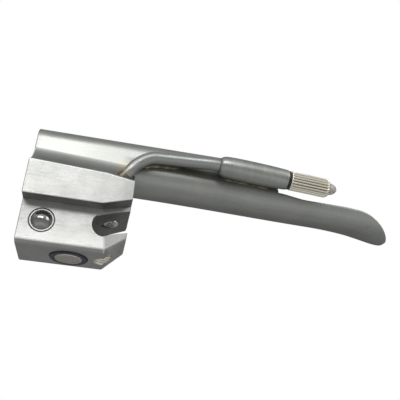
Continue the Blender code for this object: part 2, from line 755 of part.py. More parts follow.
def make_filament(materials):
    live = [lamp_point(9.45, 0.0, -0.05), lamp_point(12.0, 0.0, -0.25), lamp_point(18.2, 0.0, -0.45)]
    live += [lamp_point(21.0, 0.0, -0.45), lamp_point(24.4, 0.0, -0.5)]
    rod("lamp_support_live", live, 0.09 * MM, materials["tungsten"], 6)
    back = [lamp_point(17.6, 0.0, 1.0), lamp_point(18.2, 0.0, 0.45), lamp_point(21.0, 0.0, 0.45)]
    back += [lamp_point(24.4, 0.0, 0.5)]
    rod("lamp_support_return", back, 0.09 * MM, materials["tungsten"], 6)
    turns = 5
    count = turns * 8
    coil = []
    for i in range(count + 1):
        turn = 2.0 * math.pi * turns * i / count
        side = -0.36 + 0.72 * i / count
        coil.append(lamp_point(24.4 + 0.12 * math.cos(turn), 0.12 * math.sin(turn), side))
    rod("lamp_filament", coil, 0.03 * MM, materials["tungsten"], 4)


def main():
    clear_scene()
    materials = make_materials()
    make_block(materials["machined_steel"])
    make_blade(materials["satin_steel"])
    make_screw(materials["satin_steel"])
    make_balls(materials)
    make_contact(materials)
    make_tube(materials)
    make_socket(materials)
    make_lamp(materials)


main()
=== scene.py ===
from math import acos, asin, cos, dist, pi, radians, sin, sqrt

import bmesh
import bpy
from mathutils import Matrix, Vector


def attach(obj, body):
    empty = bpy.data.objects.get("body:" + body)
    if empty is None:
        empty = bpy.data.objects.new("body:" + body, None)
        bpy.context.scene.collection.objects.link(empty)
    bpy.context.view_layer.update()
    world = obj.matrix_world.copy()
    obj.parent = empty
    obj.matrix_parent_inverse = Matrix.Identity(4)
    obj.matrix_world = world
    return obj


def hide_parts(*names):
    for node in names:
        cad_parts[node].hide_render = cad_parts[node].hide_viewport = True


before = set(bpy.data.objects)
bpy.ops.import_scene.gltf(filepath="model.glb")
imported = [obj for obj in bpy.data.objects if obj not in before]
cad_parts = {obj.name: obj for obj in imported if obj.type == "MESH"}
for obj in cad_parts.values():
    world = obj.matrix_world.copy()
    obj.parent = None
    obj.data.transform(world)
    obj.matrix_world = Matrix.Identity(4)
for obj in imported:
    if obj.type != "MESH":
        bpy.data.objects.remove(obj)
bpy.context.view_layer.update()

# Looks of the hook-on laryngoscope blade: straight blade, base block and screw-in lamp.
# +X runs towards the tip, +Z away from the handle, and -Y is the side that carries the lamp.
# Sizes are in millimetres until a mesh is made. The studio's are in metres.

MM = 0.001
UP = Vector((0, 0, 1))
ALONG = Vector((1, 0, 0))
ACROSS = Vector((0, 1, 0))
ORIGIN = Vector()

# Base block
BLOCK_REAR_X = -10
BLOCK_FRONT_X = 10.7
BLOCK_BOTTOM_Z = 0.4
BOTTOM_EDGE_RISE = 0.5
BOTTOM_EDGE_WIDTH = 1.8
TONGUE_HALF_WIDTH = 6.3
TONGUE_FRONT_HALF_WIDTH = 4.8
SHELF_HALF_WIDTH = 9.345
SHELF_FRONT_HALF_WIDTH = 8.6
LEDGE_Z = 9
LEDGE_FRONT_Z = 11.05
SHELF_REAR_Z = 16.25
SHELF_FOLD_Z = 15.5
SHELF_FRONT_Z = 14.95
TAPER_BOTTOM_X = 6.6
TAPER_TOP_X = 5.1
CHAMFER_TOP_X = 10.55
CHAMFER_TOP_Z = 3.85
SHOULDER_RISE = 5
SHOULDER_TURN = radians(45)
EDGE = 0.2
EDGE_ANGLE = radians(12)
PUNCH_MARK = Vector((9.4, 0, 2.94))
BLOCK_FINISHES = ("ground", "blade", "milled_shaded", "edge")
GROUND, SHEET_STEEL, MILLED_SHADED, RUBBED_EDGE_HIGHLIGHT = range(4)

# Hook slot, which runs up and forward
SLOT_TILT = radians(22)
SLOT_HALF_GAP = 2.15
SLOT_END_X = 5.85
SLOT_END_Z = 5.8
SLOT_END_RADIUS = 2.5

# Detent balls and their spring
BALL_X = -5.75
BALL_Z = 5.1
BALL_PLACE = Vector((BALL_X, 0, BALL_Z))
BALL_RADIUS = 2.25
BALL_PROUD = 1.1
SPRING_COIL_RADIUS = 1.25
SPRING_WIRE_RADIUS = 0.22
SPRING_TURNS = 6

# Contact under the block
CONTACT_RADIUS = 2.75
CONTACT_THICKNESS = 1.25
CONTACT_STEM_RADIUS = 1
INSULATOR_RADIUS = 3.7
INSULATOR_NECK_RADIUS = 1.95
INSULATOR_FLANGE_TOP_Z = 2.4
INSULATOR_TOP_Z = 5
INSULATOR_FACE_Z = 0.1

# Screw in the roof of the hook slot
SCREW_X = 7.1
SCREW_PLACE = Vector((SCREW_X, 0, 0))
SCREW_HEAD_RADIUS = 1.65
SCREW_SHANK_RADIUS = 1
SCREW_HEAD_Z = 8.6
SCREW_HEAD_HEIGHT = 1
ACCESS_HOLE_X = 6.8
ACCESS_HOLE_RADIUS = 1.85

# Blade sheet
SHEET = 0.9
SHEET_POINTS = 84
WEB_Y = -5.25
NEAR_CORNER_RADIUS = 4.2
LOWEST_Y = WEB_Y + NEAR_CORNER_RADIUS
FLANGE_CORNER_RADIUS = 3
FLANGE_CORNER_TURN = radians(65)
FLANGE_CROWN_RADIUS = 9
FLANGE_CROWN_TURN = radians(70)
FLANGE_CENTRE_Z = 23.595
FAR_EDGE_Y = 5.2
UPPER_LENGTH = 14.2
UPPER_LENGTH_AT_END = 2
TAPER_START_X = 24
WEB_END_X = 41.4
WEB_END_CORNER = 1.5
TIP_START_X = 60
TIP_X = 67.84
CHANNEL_Z = 15.75
CHANNEL_SAG = 0.95
DROOP_START_X = 52
DROOP_BEND = 0.0026
TIP_DIP = 1.5

# Light tube and lamp socket
TUBE_RADIUS = 1.3
TUBE_BORE_RADIUS = 0.85
LAMP_ORIGIN = Vector((27.6, -7.75, 21.95))
LAMP_DROOP = radians(3.5)
LAMP_AXIS = Vector((cos(LAMP_DROOP), 0, -sin(LAMP_DROOP)))
THREAD_PITCH = 0.5
THREAD_DEPTH = 0.2
KNURL_FLUTES = 20
KNURL_RADIUS = 2.05
FLUTE_DEPTH = 0.27

# Finishes
TORCH_PLACE = (8.2, -6.8, 18.6)
# Painted light: the lighter tone low on the tongue's sides
LOW_SIDE_PAINTED_LIGHT = (0.68, 0.68, 0.66)
# Painted shade of the crevice on the web along the tube and socket
CREVICE_PAINTED_SHADE = (0.15, 0.14, 0.12)
TORCH_STRAW = (0.44, 0.37, 0.25)

# Camera
CAMERA_PLACE = Vector((6.4, -107.8, -35.5)) * MM
CAMERA_AZIMUTH = radians(-9.985)
CAMERA_ELEVATION = radians(-25.694)
CAMERA_ROLL = radians(4.094)
CAMERA_LENS = 50.44

# Studio
LIGHT_AIM = Vector((15, 0, 14)) * MM
FLOOR_Z = -0.16
FLOOR_HALF_SIZE = 3

# Studio greys by height of the direction, from straight down to straight up
STUDIO_FRONT = ((-1, 0.45), (-0.6, 0.7), (-0.2, 0.44), (0.2, 0.34), (0.75, 0.8), (1, 0.45))
STUDIO_REAR = ((-1, 0.4), (-0.45, 0.3), (-0.05, 0.16), (0.3, 0.24), (0.8, 0.25), (1, 0.45))


# ---- mesh helpers


def blend(start, end, value):
    """0 before start, 1 after end, and smooth between."""
    t = min(max((value - start) / (end - start), 0), 1)
    return t * t * (3 - 2 * t)


def mix(a, b, t):
    return a + (b - a) * t


def evenly(start, end, count):
    """Values from start to end in equal steps."""
    return [start + (end - start) * i / count for i in range(count + 1)]


def full_turn(count):
    """Angles once round a circle."""
    return evenly(0, 2 * pi, count)[:-1]


def add_skin(bm, rings, closed=False, rungs=False):
    """Joins rings of points with quads. A closed run of rings meets itself; an open one gets caps."""
    loops = [[bm.verts.new(point) for point in ring] for ring in rings]
    count = len(loops[0])
    pairs = zip(loops, loops[1:] + loops[:1] if closed else loops[1:])
    for first, second in pairs:
        for i in range(count):
            j = (i + 1) % count
            bm.faces.new((first[i], first[j], second[j], second[i]))
    if closed:
        return
    for loop in (loops[0], loops[-1][::-1]):
        if rungs:
            for i in range(count // 2 - 1):
                bm.faces.new((loop[i], loop[i + 1], loop[count - 2 - i], loop[count - 1 - i]))
        else:
            bm.faces.new(loop)


def shade(mesh, sharp_angle):
    """Smooth faces, with an edge wherever they turn by more than the given degrees."""
    mesh.shade_smooth()
    mesh.set_sharp_from_angle(angle=radians(sharp_angle))


def new_object(name, data):
    item = bpy.data.objects.new(name, data)
    bpy.context.scene.collection.objects.link(item)
    return item


def object_from(bm, name, sharp_angle=40):
    """Turns a shape in millimetres into an object in metres."""
    bmesh.ops.recalc_face_normals(bm, faces=bm.faces)
    bmesh.ops.scale(bm, vec=(MM, MM, MM), verts=bm.verts)
    mesh = bpy.data.meshes.new(name)
    bm.to_mesh(mesh)
    bm.free()
    shade(mesh, sharp_angle)
    return new_object(name, mesh)


def skin_object(name, rings, closed=False, rungs=False, sharp_angle=40):
    bm = bmesh.new()
    add_skin(bm, rings, closed, rungs)
    return object_from(bm, name, sharp_angle)


def frame_about(axis):
    """Two unit vectors square to the axis and to each other."""
    side = ACROSS if abs(axis.dot(ACROSS)) < 0.9 else ALONG
    first = (side - axis * axis.dot(side)).normalized()
    return first, axis.cross(first)


def circle(centre, first, second, radius, segments):
    angles = [2 * pi * (i + 0.5) / segments for i in range(segments)]
    return [centre + radius * (cos(a) * first + sin(a) * second) for a in angles]


def turned(name, origin, axis, profile, segments=64, hollow=False, sharp_angle=40):
    """Turns (distance, radius) pairs about an axis. A hollow profile is a closed outline."""
    first, second = frame_about(axis)
    rings = [circle(origin + axis * d, first, second, r, segments) for d, r in profile]
    return skin_object(name, rings, hollow, sharp_angle=sharp_angle)


def on_lamp_axis(name, outline, segments, sharp_angle=40):
    """Turns a closed outline of (distance, radius) pairs about the lamp's axis."""
    return turned(name, LAMP_ORIGIN, LAMP_AXIS, outline, segments, True, sharp_angle)


def smooth_path(points, steps):
    """Points along a Catmull-Rom curve through the given ones."""
    ends = [2 * points[0] - points[1], *points, 2 * points[-1] - points[-2]]
    path = []
    for i in range(1, len(ends) - 2):
        before, start, end, after = ends[i - 1 : i + 3]
        for t in evenly(0, 1, steps)[:-1]:
            bend = 2 * before - 5 * start + 4 * end - after
            twist = 3 * start - before - 3 * end + after
            path.append((2 * start + (end - before) * t + bend * t**2 + twist * t**3) / 2)
    path.append(points[-1])
    return path


def path_frames(path):
    """(point, first, second) along a path, turned as little as possible from one to the next."""
    frames = []
    first = None
    for i, point in enumerate(path):
        tangent = (path[min(i + 1, len(path) - 1)] - path[max(i - 1, 0)]).normalized()
        if first is None:
            first, _ = frame_about(tangent)
        first = (first - tangent * tangent.dot(first)).normalized()
        frames.append((point, first, tangent.cross(first)))
    return frames


def path_rings(path, radius, segments):
    return [circle(p, a, b, radius, segments) for p, a, b in path_frames(path)]


def coil(name, centre, axes, half, radius, turns, steps, wire, segments=12):
    """A coil that reaches half its length to each side along the first of three axes."""
    along, first, second = axes
    path = []
    for share in evenly(-1, 1, turns * steps):
        turn = pi * turns * (share + 1)
        ring = cos(turn) * first + sin(turn) * second
        path.append(centre + along * half * share + radius * ring)
    return skin_object(name, path_rings(path, wire, segments))


def pipe(name, path, outer, inner, segments=32):
    rings = path_rings(path, outer, segments) + path_rings(path, inner, segments)[::-1]
    return skin_object(name, rings, closed=True)


def cut_all(target, cutters, sharp_angle=28):
    """Takes the cutters out of the target and removes them."""
    for cutter in cutters:
        modifier = target.modifiers.new("cut", "BOOLEAN")
        modifier.operation = "DIFFERENCE"
        modifier.solver = "EXACT"
        modifier.material_mode = "TRANSFER"
        modifier.object = cutter
    graph = bpy.context.evaluated_depsgraph_get()
    mesh = bpy.data.meshes.new_from_object(target.evaluated_get(graph))
    target.modifiers.clear()
    target.data = mesh
    shade(mesh, sharp_angle)
    for cutter in cutters:
        bpy.data.objects.remove(cutter, do_unlink=True)


def finish_piece(item, material, slot, *nodes, body="body"):
    """Gives a piece its material, its body and the CAD nodes that it stands for. The slot argument is
    not used.
    """
    if material:
        dress(item, material)
    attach(item, body)
    if nodes:
        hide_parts(*nodes)


def dress(item, name):
    """Gives an object the named material, and no other."""
    item.data.materials.clear()
    item.data.materials.append(MATERIALS[name])


# ---- materials


class Graph:
    """Adds nodes to one tree."""

    def __init__(self, tree):
        self.tree = tree

    def feed(self, node, inputs):
        """Links a node's inputs to sockets, or sets them to plain values."""
        for key, value in inputs.items():
            if isinstance(value, bpy.types.NodeSocket):
                self.tree.links.new(value, node.inputs[key])
            else:
                node.inputs[key].default_value = value

    def add(self, kind, inputs=None, **settings):
        node = self.tree.nodes.new("ShaderNode" + kind)
        for key, value in settings.items():
            setattr(node, key, value)
        self.feed(node, inputs or {})
        return node

    def colours(self, share, first, second):
        """A mix of two colours, each a socket or three numbers."""
        first, second = ((*c, 1) if isinstance(c, tuple) else c for c in (first, second))
        inputs = {"Factor": share, "A": first, "B": second}
        return self.add("Mix", inputs, data_type="RGBA").outputs["Result"]


class Nodes(Graph):
    """Short names for building one material's nodes. Places are in millimetres."""

    def __init__(self, name):
        self.material = bpy.data.materials.new(name)
        self.material.use_nodes = True
        super().__init__(self.material.node_tree)
        self.shader = self.tree.nodes["Principled BSDF"]
        inputs = {0: self.add("TexCoord").outputs["Object"], "Scale": 1 / MM}
        self.place = self.add("VectorMath", inputs, operation="SCALE").outputs[0]

    def axes(self):
        """The place's own X, Y and Z."""
        return self.add("SeparateXYZ", {0: self.place}).outputs

    def noise(self, scale, detail=3, roughness=0.55, place=None):
        inputs = {"Scale": scale, "Detail": detail, "Roughness": roughness}
        inputs["Vector"] = place or self.place
        return self.add("TexNoise", inputs).outputs["Fac"]

    def streaks(self, scales, detail=2, roughness=0.55, turn=(0, 0, 0)):
        """Noise that is turned, and scaled along each axis."""
        inputs = {"Vector": self.place, "Scale": scales, "Rotation": turn}
        place = self.add("Mapping", inputs).outputs[0]
        return self.noise(1, detail, roughness, place)

    def spread(self, value, low, high, to_low=0, to_high=1):
        """The value's share of the way from low to high, as a value from to_low to to_high."""
        inputs = {"Value": value, "From Min": low, "From Max": high}
        inputs |= {"To Min": to_low, "To Max": to_high}
        return self.add("MapRange", inputs).outputs[0]

    def maths(self, operation, a, b):
        return self.add("Math", {0: a, 1: b}, operation=operation).outputs[0]

    def plus(self, a, b):
        return self.maths("ADD", a, b)

    def times(self, a, b):
        return self.maths("MULTIPLY", a, b)

    def set(self, **values):
        """Sets the shader's own sockets, with _ for a space in a socket's name."""
        self.feed(self.shader, {key.replace("_", " "): value for key, value in values.items()})

    def bump(self, height, strength, distance):
        inputs = {"Height": height, "Strength": strength, "Distance": distance * MM}
        self.set(Normal=self.add("Bump", inputs).outputs[0])

    def metal(self, colour, roughness, height, strength, distance=0.02):
        """Sets the sockets of a bumped metal and returns the material."""
        self.set(Base_Color=colour, Metallic=1, Roughness=roughness)
        self.bump(height, strength, distance)
        return self.material


def blasted_steel(name, light, dark, roughness, grain=0.22):
    """Bead-blasted steel: fine grain, lengthwise lines, a cloudy sheen, painted shade along the tube
    and socket, and the torch's straw tint.
    """
    n = Nodes(name)
    cloud = n.noise(0.16, 4)
    grains = n.noise(7, 2)
    lines = n.streaks((0.12, 4, 4), 3)
    tone = n.plus(n.spread(cloud, 0.3, 0.7, 0, 0.6), n.spread(lines, 0.3, 0.7, 0, 0.4))
    specks = n.spread(n.noise(4, 2, 0.5), 0.4, 0.6, 0, 0.35)
    steel = n.colours(n.plus(tone, specks), dark, light)
    # Painted shade: the web is darkened along the tube and socket, where the crevice lies in shadow.
    steel = n.colours(n.times(crevice_shade_band(n), 0.75), steel, CREVICE_PAINTED_SHADE)
    away = n.add("VectorMath", {0: n.place, 1: TORCH_PLACE}, operation="DISTANCE")
    reach = n.plus(away.outputs["Value"], n.times(n.noise(0.9, 4), 2.5))
    dulled = n.spread(n.axes()["X"], -2, 35, 0, 0.08)
    rough = n.spread(n.plus(cloud, grains), 0.6, 1.4, roughness - 0.05, roughness + 0.07)
    return n.metal(
        n.colours(n.spread(reach, 4, 2.4, 0, 0.6), steel, TORCH_STRAW),
        n.plus(rough, dulled),
        n.plus(n.times(grains, 0.6), n.times(lines, 0.4)),
        grain,
    )


def crevice_shade_band(n):
    """1 on the stretch of the web along the brazed tube and socket, which gets painted shade, and 0
    away from it.
    """
    along, _, height = n.axes()
    level = n.plus(height, n.times(along, 0.03))
    beside = n.times(n.spread(level, 18.7, 21.5), n.spread(level, 22.7, 21.9))
    return n.times(beside, n.times(n.spread(along, 7.5, 10.5), n.spread(along, 33, 24)))


def machined_steel(name, light, dark, roughness, grain=0.35, lit_foot=False):
    """Milled steel: fine tool lines along X, cloudy patches, small scratches."""
    n = Nodes(name)
    patches = n.noise(0.3, 5, 0.65)
    lines = n.streaks((0.35, 8, 8), 3)
    grains = n.noise(5, 2)
    scratches = n.streaks((0.5, 14, 5), 2, 0.4, (0, 0.6, 0.3))
    scratched = n.spread(scratches, 0.66, 0.72)
    share = n.plus(n.plus(n.times(patches, 0.35), n.times(lines, 0.3)), n.times(grains, 0.35))
    tone = n.colours(n.spread(share, 0.36, 0.64), dark, light)
    # Painted light: the tongue's sides are lighter low down.
    if lit_foot:
        tone = n.colours(painted_light_foot(n), tone, LOW_SIDE_PAINTED_LIGHT)
    scuffed = tuple(0.8 * c for c in dark)
    return n.metal(
        n.colours(n.times(scratched, 0.5), tone, scuffed),
        n.spread(share, 0.35, 0.65, roughness + 0.05, roughness - 0.05),
        n.maths("SUBTRACT", n.plus(lines, grains), n.times(scratched, 0.6)),
        grain,
    )


def painted_light_foot(n):
    """1 low on the tongue's sides, where painted light makes them lighter, and 0 higher up and
    underneath.
    """
    height = n.axes()["Z"]
    low = n.plus(height, n.times(n.noise(1.2, 4), 2))
    return n.times(n.spread(low, 5.4, 2.4), n.spread(height, 0.9, 1.3))


def tube_steel(name):
    """Drawn steel tube, tinted straw and brown by the torch where it is brazed into the block."""
    n = Nodes(name)
    lines = n.streaks((0.3, 6, 6))
    cloud = n.noise(0.6, 3)
    warm = n.spread(n.plus(n.axes()["X"], n.times(cloud, 2.5)), 11.6, 9)
    steel = n.colours(lines, (0.29, 0.305, 0.295), (0.40, 0.415, 0.40))
    return n.metal(
        n.colours(n.times(warm, 0.55), steel, (0.46, 0.39, 0.28)),
        n.spread(n.plus(lines, cloud), 0.6, 1.4, 0.34, 0.48),
        lines,
        0.15,
    )


def turned_steel(name, light, dark, roughness, ring_scale):
    """Metal finished on a lathe about the lamp's axis: fine rings round it and a cloudy sheen."""
    n = Nodes(name)
    rings = n.streaks((ring_scale, 0.2, 0.2), 3, turn=(0, -LAMP_DROOP, 0))
    tone = n.plus(n.times(rings, 0.5), n.times(n.noise(0.5, 3), 0.5))
    return n.metal(
        n.colours(n.spread(tone, 0.3, 0.7), dark, light),
        n.spread(tone, 0.3, 0.7, roughness - 0.05, roughness + 0.08),
        rings,
        0.2,
    )


def knurled_nickel(name):
    """Nickel-plated brass, rubbed pale on the flutes' crests and dull olive in their grooves."""
    n = Nodes(name)
    depth = n.add("Attribute", attribute_name="groove").outputs["Fac"]
    cloud = n.noise(1.2, 4)
    crest = n.colours(cloud, (0.84, 0.79, 0.66), (0.95, 0.92, 0.82))
    dirt = n.spread(n.plus(depth, n.times(cloud, 0.4)), 0.6, 1.2)
    return n.metal(
        n.colours(dirt, crest, (0.26, 0.23, 0.14)),
        n.spread(dirt, 0, 1, 0.24, 0.55),
        n.noise(6, 2),
        0.15,
    )


def polished_steel(name, colour, roughness):
    """Hardened steel with faint hairline scratches."""
    n = Nodes(name)
    hairs = n.streaks((12, 1.5, 5), 2, 0.4, (0.4, 0.2, 0.7))
    cloud = n.noise(1.5, 3)
    dark = tuple(0.8 * c for c in colour)
    return n.metal(
        n.colours(n.spread(cloud, 0.35, 0.65), dark, colour),
        n.spread(n.plus(hairs, cloud), 0.7, 1.4, roughness, roughness + 0.12),
        hairs,
        0.1,
        0.01,
    )


def worn_contact(name):
    """Soft contact metal, rubbed and pitted by use."""
    n = Nodes(name)
    pits = n.noise(2.6, 5, 0.7)
    rub = n.streaks((1, 7, 7), turn=(0, 0, 0.5))
    share = n.spread(n.plus(pits, n.times(rub, 0.5)), 0.45, 1)
    return n.metal(
        n.colours(share, (0.32, 0.305, 0.27), (0.90, 0.87, 0.80)),
        n.spread(pits, 0.3, 0.7, 0.6, 0.38),
        pits,
        0.6,
        0.05,
    )


def moulded(name, light, dark, roughness, grain_scale=3):
    """Moulded plastic or rubber with a fine grain and dust-dulled patches."""
    n = Nodes(name)
    grain = n.noise(grain_scale, 4)
    n.set(
        Base_Color=n.colours(n.spread(n.noise(0.7, 3), 0.3, 0.7), dark, light),
        Roughness=n.spread(grain, 0.3, 0.7, roughness - 0.08, roughness + 0.1),
    )
    n.bump(grain, 0.25, 0.03)
    return n.material


def braze_metal(name):
    """Brazing alloy: brassy and rippled; its dark tone is painted shade of the crevices round the tube
    and socket.
    """
    n = Nodes(name)
    stain = n.noise(0.7, 4)
    return n.metal(
        n.colours(n.spread(stain, 0.35, 0.65), (0.10, 0.088, 0.065), (0.25, 0.22, 0.17)),
        n.spread(stain, 0.3, 0.7, 0.55, 0.36),
        n.noise(1.6, 4),
        0.5,
        0.06,
    )


def bulb_glass(name):
    """Thin lamp glass, faintly clouded."""
    n = Nodes(name)
    haze = n.noise(1, 3)
    n.set(
        Base_Color=n.colours(n.spread(haze, 0.3, 0.7), (0.68, 0.67, 0.62), (0.76, 0.75, 0.71)),
        Roughness=n.spread(haze, 0.3, 0.7, 0.22, 0.32),
        IOR=1.47,
        Transmission_Weight=0.65,
    )
    return n.material


def drawn_wire(name, colour):
    """Wire with fine lines from the drawing die."""
    n = Nodes(name)
    lines = n.streaks((1, 8, 8))
    dark = tuple(0.6 * c for c in colour)
    rough = n.spread(lines, 0.3, 0.7, 0.28, 0.48)
    return n.metal(n.colours(lines, dark, colour), rough, lines, 0.2, 0.01)


def make_materials():
    return {
        "blade": blasted_steel("blade_steel", (0.40, 0.41, 0.385), (0.30, 0.31, 0.293), 0.35),
        "ground": machined_steel(
            "ground_steel", (0.58, 0.58, 0.55), (0.46, 0.47, 0.455), 0.5, 0.3, lit_foot=True
        ),
        # Lighter copy of the machined steel for the bevels: rubbed wear and painted highlight
        "edge": machined_steel("rubbed_edge_highlight_steel", (0.95, 0.95, 0.93), (0.80, 0.81, 0.80), 0.45, 0.8),
        # Darker copy of the machined steel: a milled finish, with painted shade in the recesses, the
        # grooves and under the ledge
        "milled_shaded": machined_steel("milled_shaded_steel", (0.31, 0.315, 0.30), (0.19, 0.195, 0.185), 0.42),
        # Lighter copy of the machined steel for the access hole's walls: painted light
        "bored_lit": machined_steel("bored_lit_steel", (0.92, 0.89, 0.82), (0.75, 0.72, 0.65), 0.4, 0.8),
        "tube": tube_steel("tube_steel"),
        "socket": turned_steel("socket_steel", (0.42, 0.43, 0.405), (0.31, 0.32, 0.30), 0.36, 5),
        "shell": knurled_nickel("shell_nickel"),
        # The ball's dark colour is a painted reflection of the dark surroundings.
        "ball": polished_steel("ball_steel", (0.34, 0.34, 0.33), 0.1),
        "spring": drawn_wire("spring_steel", (0.5, 0.5, 0.5)),
        "screw": polished_steel("screw_steel", (0.92, 0.91, 0.88), 0.24),
        "contact": worn_contact("contact_metal"),
        "insulator": moulded("insulator_plastic", (0.035, 0.04, 0.07), (0.012, 0.014, 0.028), 0.42),
        "rubber": moulded("seal_rubber", (0.022, 0.022, 0.022), (0.008, 0.008, 0.008), 0.55, 6),
        "sleeve": moulded("sleeve_plastic", (0.62, 0.06, 0.045), (0.45, 0.03, 0.03), 0.45),
        "cement": moulded("cement", (0.74, 0.70, 0.60), (0.52, 0.47, 0.38), 0.85, 5),
        "braze": braze_metal("braze"),
        "glass": bulb_glass("bulb_glass"),
        "copper": drawn_wire("copper_wire", (0.85, 0.48, 0.32)),
        "tungsten": drawn_wire("tungsten_wire", (0.36, 0.36, 0.38)),
    }


# ---- blade


def floor_z(x):
    """Height of the underside of the blade's channel."""
    sag = blend(10, 58, x) * CHANNEL_SAG
    droop = max(x - DROOP_START_X, 0) ** 2 * DROOP_BEND
    dip = (max(x - TIP_START_X, 0) / (TIP_X - TIP_START_X)) ** 2 * TIP_DIP
    return CHANNEL_Z - sag - droop - dip


def far_rise(x):
    """How far the spatula's open edge stands above its underside."""
    return 2.45 - blend(50, 64, x)


def near_rise(x):
    """How far the spatula's lamp-side edge stands above its underside, beyond the web."""
    lead = blend(WEB_END_X, 48, x) * 0.65
    end = blend(56, 67, x) * 0.5
    return 4.15 - lead - end


def upper_length(x):
    """Length of sheet above the lower corner: web, flange corner and crown."""
    share = blend(TAPER_START_X, WEB_END_X - 1, x)
    length = mix(UPPER_LENGTH, UPPER_LENGTH_AT_END, share)
    past = max(x - (WEB_END_X - WEB_END_CORNER), 0) / WEB_END_CORNER
    return None if past >= 1 else length * sqrt(1 - past * past)


def arc_points(centre, radius, start, end, step):
    """(y, z) points of an arc from one angle to another, about one step apart."""
    count = max(2, round(abs(end - start) * radius / step))
    angles = evenly(start, end, count)
    return [(centre[0] + radius * cos(a), centre[1] + radius * sin(a)) for a in angles]


def full_section(x, step):
    """Outer side of the C section, from the spatula's open edge round to the flange's edge."""
    base = floor_z(x)
    reach = FAR_EDGE_Y - LOWEST_Y
    rise = far_rise(x)
    far_radius = (reach**2 + rise**2) / (2 * rise)
    open_angle = asin(reach / far_radius)
    down = -pi / 2
    points = arc_points((LOWEST_Y, base + far_radius), far_radius, down + open_angle, down, step)
    near_centre = (LOWEST_Y, base + NEAR_CORNER_RADIUS)
    points += arc_points(near_centre, NEAR_CORNER_RADIUS, down, -pi, step)[1:]
    corner_centre = (WEB_Y + FLANGE_CORNER_RADIUS, FLANGE_CENTRE_Z)
    turn = FLANGE_CORNER_TURN
    points += arc_points(corner_centre, FLANGE_CORNER_RADIUS, pi, pi - turn, step)
    drop = FLANGE_CROWN_RADIUS - FLANGE_CORNER_RADIUS
    crown_centre = (corner_centre[0] + drop * cos(turn), corner_centre[1] - drop * sin(turn))
    crown_start = pi - turn
    crown_end = crown_start - FLANGE_CROWN_TURN
    points += arc_points(crown_centre, FLANGE_CROWN_RADIUS, crown_start, crown_end, step)[1:]
    return points


def measure(points):
    lengths = [0]
    for a, b in zip(points, points[1:]):
        lengths.append(lengths[-1] + dist(a, b))
    return lengths


def at_length(points, lengths, wanted):
    """The point that lies a wanted length along a run of points."""
    wanted = min(max(wanted, 0), lengths[-1])
    for i in range(1, len(lengths)):
        if lengths[i] >= wanted:
            t = (wanted - lengths[i - 1]) / (lengths[i] - lengths[i - 1])
            a, b = points[i - 1], points[i]
            return Vector([mix(p, q, t) for p, q in zip(a, b)])


def section_span(x, points, lengths):
    """Start and end of the sheet along the full section at one place along the blade."""
    lowest = next(length for p, length in zip(points, lengths) if p[0] <= LOWEST_Y + 1e-9)
    corner = lowest + NEAR_CORNER_RADIUS * pi / 2
    upper = upper_length(x)
    if upper is not None:
        return 0, corner + upper
    angle = acos(1 - near_rise(x) / NEAR_CORNER_RADIUS)
    end = lowest + NEAR_CORNER_RADIUS * angle
    past = max(x - TIP_START_X, 0) / (TIP_X - TIP_START_X)
    keep = sqrt(max(1 - past**2.2, 0))
    middle = lowest * 0.86
    return middle * (1 - keep), middle + (end - middle) * keep


def blade_loop(x, count, thin=0, outward=0):
    """Outer and inner sides of the sheet, its direction at both ends, and the ends' easing."""
    points = full_section(x, 0.12)
    lengths = measure(points)
    start, end = section_span(x, points, lengths)
    ease = min(0.3, 0.3 * (end - start))
    start += ease
    end -= ease
    nudge = 0.06
    outer, inner, directions = [], [], []
    for wanted in evenly(start, end, count - 1):
        steps = (wanted - nudge, wanted, wanted + nudge)
        back, here, ahead = (at_length(points, lengths, step) for step in steps)
        along = (ahead - back).normalized()
        inward = Vector((along.y, -along.x))
        outer.append(here + inward * (thin * SHEET / 2 - outward))
        inner.append(here + inward * (SHEET - thin * SHEET / 2))
        directions.append(along)
    return outer, inner, (directions[0], directions[-1]), ease


def rounded_loop(x, count, thin=0):
    """The sheet's outline as one ring of points whose two ends are rounded."""
    outer, inner, along, ease = blade_loop(x, count, thin)
    ring = outer + rounded_end(outer[-1], inner[-1], along[1] * ease)
    return ring + inner[::-1] + rounded_end(inner[0], outer[0], along[0] * -ease)


def rounded_end(start, end, reach):
    """Five points of the half ellipse from start to end that bulges by reach."""
    turns = evenly(0, pi, 6)[1:-1]
    return [(start + end + (start - end) * cos(t)) / 2 + reach * sin(t) for t in turns]


def blade_stations():
    """(x, share thinned) along the blade, closer together where its outline turns."""
    rear = BLOCK_REAR_X
    stations = [(rear, 0.34), (rear + 0.05, 0.12), (rear + 0.16, 0)]
    stations += [(rear + i * 2, 0) for i in range(1, 17)]
    stations += [(TAPER_START_X + i * 0.9, 0) for i in range(18)]
    for turn in range(6, 90, 7):
        x = WEB_END_X - WEB_END_CORNER * (1 - sin(radians(turn)))
        stations.append((x, 0))
    stations += [(WEB_END_X + 0.05 + 1.1 * i, 0) for i in range(17)]
    edge = 0.45
    for turn in range(2, 89, 4):
        x = TIP_START_X + (TIP_X - TIP_START_X) * sin(radians(turn))
        past = max(x - (TIP_X - edge), 0) / edge
        stations.append((x, 1 - sqrt(1 - 0.92 * past * past)))
    return sorted(stations)


def make_blade():
    rings = []
    for x, thin in blade_stations():
        rings.append([Vector((x, p.x, p.y)) for p in rounded_loop(x, SHEET_POINTS, thin)])
    blade = skin_object("blade_sheet", rings, rungs=True, sharp_angle=60)
    floor = floor_z(SCREW_X)
    radius = SCREW_SHANK_RADIUS + 0.015
    hole = [(floor - 1, radius), (floor + 2.5, radius)]
    cut_all(blade, [turned("rivet_hole", SCREW_PLACE, UP, hole, 64)], 60)
    finish_piece(blade, "blade", "satin_steel", "blade")


# ---- base block


def shoulder_points(side_y, side_z, web_z):
    """Concave curve from the shelf's side up to the web, on the lamp side."""
    run = (WEB_Y + side_y) / (1 - cos(SHOULDER_TURN))
    rise = (web_z - side_z) / sin(SHOULDER_TURN)
    turns = evenly(SHOULDER_TURN, 0, 16)[1:]
    return [(WEB_Y - run * (1 - cos(t)), web_z - rise * sin(t)) for t in turns]


